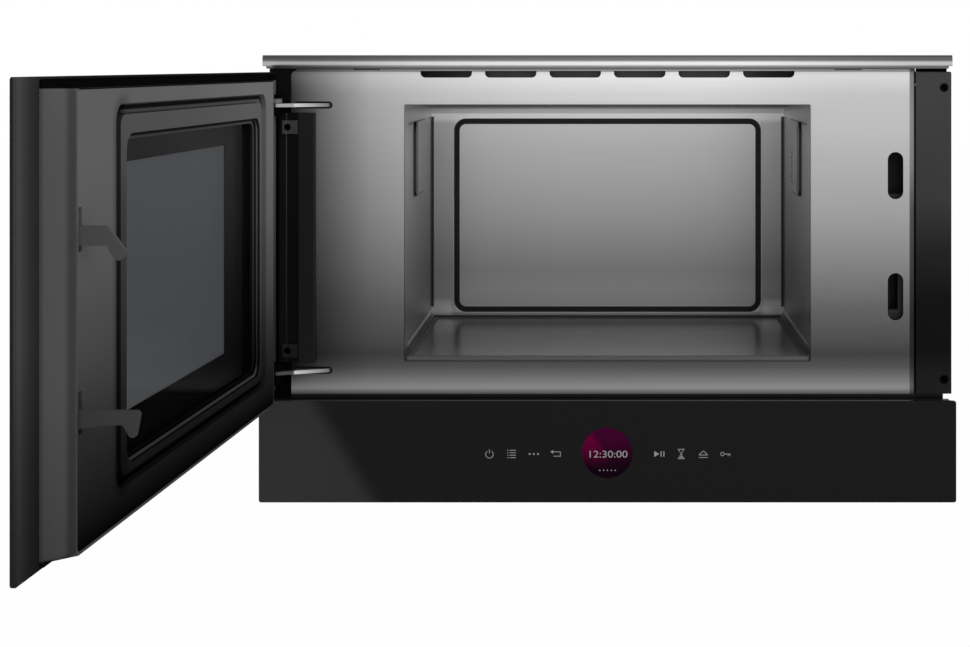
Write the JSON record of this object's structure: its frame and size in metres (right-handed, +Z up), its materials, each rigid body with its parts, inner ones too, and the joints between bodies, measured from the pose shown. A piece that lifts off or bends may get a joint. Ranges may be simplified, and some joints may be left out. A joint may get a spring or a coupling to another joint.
{
  "type": "built-in microwave oven",
  "caption": "Built-in microwave oven with a left-hinged black glass door standing open, a flat ceramic floor and a touch control panel below the door.",
  "frame": {"origin": "on the niche floor under the casing, on the centre plane, midway along the casing's depth", "axes": "+X to the right seen from the room, +Y from the room into the niche, +Z up"},
  "size_m": [0.6219, 0.8927, 0.384],
  "materials": {
    "galvanised_steel": "matte zinc",
    "stainless_front": "satin",
    "brushed_stainless": "brushed",
    "dark_trim": "fine grain",
    "cavity_steel": "satin",
    "glass_ceramic": "polished",
    "silicone": "matte",
    "plain_aluminium": "plain",
    "bright_steel": "zinc plated",
    "circuit_board": "lacquered",
    "lamp_glass": "frosted",
    "black_glass": "polished",
    "window_glass": "polished",
    "display": "lit from behind"
  },
  "bodies": {
    "oven": {"base_plate": "galvanised_steel", "left_side_panel": "galvanised_steel", "right_side_panel": "galvanised_steel", "top_cover": "galvanised_steel", "rear_panel": "galvanised_steel", "cavity_floor_pan": "galvanised_steel", "left_floor_rail": "galvanised_steel", "right_floor_rail": "galvanised_steel", "lamp_housing": "galvanised_steel", "front_frame": "stainless_front", "top_rail": "brushed_stainless", "lower_crossmember": "dark_trim", "left_column": "dark_trim", "right_column": "dark_trim", "hinge_cover": "dark_trim", "fan_housing": "dark_trim", "air_duct": "dark_trim", "cable_gland": "dark_trim", "panel_carrier": "dark_trim", "interlock_housing": "dark_trim", "microswitches": "dark_trim", "touch_strips": "dark_trim", "cavity_left_wall": "cavity_steel", "cavity_right_wall": "cavity_steel", "cavity_back_wall": "cavity_steel", "cavity_ceiling": "cavity_steel", "ceramic_floor": "glass_ceramic", "floor_seal": "silicone", "waveguide": "plain_aluminium", "magnetron": "plain_aluminium", "stirrer_motor": "bright_steel", "catch_solenoid": "bright_steel", "upper_hinge_bracket": "bright_steel", "lower_hinge_bracket": "bright_steel", "upper_hinge_pin": "bright_steel", "lower_hinge_pin": "bright_steel", "inverter": "circuit_board", "filter_board": "circuit_board", "control_board": "circuit_board", "cavity_lamp": "lamp_glass", "control_glass": "black_glass", "display_module": "display"},
    "door": {"door_glass": "black_glass", "door_frame": "dark_trim", "choke_panel": "galvanised_steel", "mesh_screen": "galvanised_steel", "choke_cover": "dark_trim", "inner_window": "window_glass", "latch_spring": "bright_steel", "latch_spring_seat": "dark_trim", "upper_hinge_block": "bright_steel", "lower_hinge_block": "bright_steel"},
    "latch": {"latch_key": "dark_trim"},
    "catch": {"catch_slider": "dark_trim"},
    "stirrer": {"stirrer": "plain_aluminium"},
    "fan": {"fan_impeller": "dark_trim"},
    "upper_plunger": {"upper_switch_plunger": "dark_trim"},
    "lower_plunger": {"lower_switch_plunger": "dark_trim"}
  },
  "joints": [
    {"name": "door_swing", "type": "hinge", "parent": "oven", "child": "door", "pos_m": [-0.2835, -0.1635, 0.23], "axis": [0, 0, 1], "range_deg": [0, 93.4]},
    {"name": "latch_lift", "type": "slide", "parent": "door", "child": "latch", "axis": [0, 0, 1], "range_m": [0, 0.008], "stiffness_N_per_m": 300, "springref_m": -0.004, "deforming": ["latch_spring"]},
    {"name": "catch_lift", "type": "slide", "parent": "oven", "child": "catch", "axis": [0, 0, 1], "range_m": [0, 0.007], "stiffness_N_per_m": 200, "springref_m": -0.004},
    {"name": "stirrer_spin", "type": "hinge", "parent": "oven", "child": "stirrer", "pos_m": [0, -0.0215, 0.1], "axis": [0, 0, 1], "continuous": true},
    {"name": "fan_spin", "type": "hinge", "parent": "oven", "child": "fan", "pos_m": [0.2269, 0.13, 0.25], "axis": [0, 1, 0], "continuous": true},
    {"name": "upper_switch_press", "type": "slide", "parent": "oven", "child": "upper_plunger", "axis": [0, 1, 0], "range_m": [0, 0.0015], "stiffness_N_per_m": 150, "springref_m": -0.001},
    {"name": "lower_switch_press", "type": "slide", "parent": "oven", "child": "lower_plunger", "axis": [0, 1, 0], "range_m": [0, 0.0015], "stiffness_N_per_m": 150, "springref_m": -0.001}
  ]
}
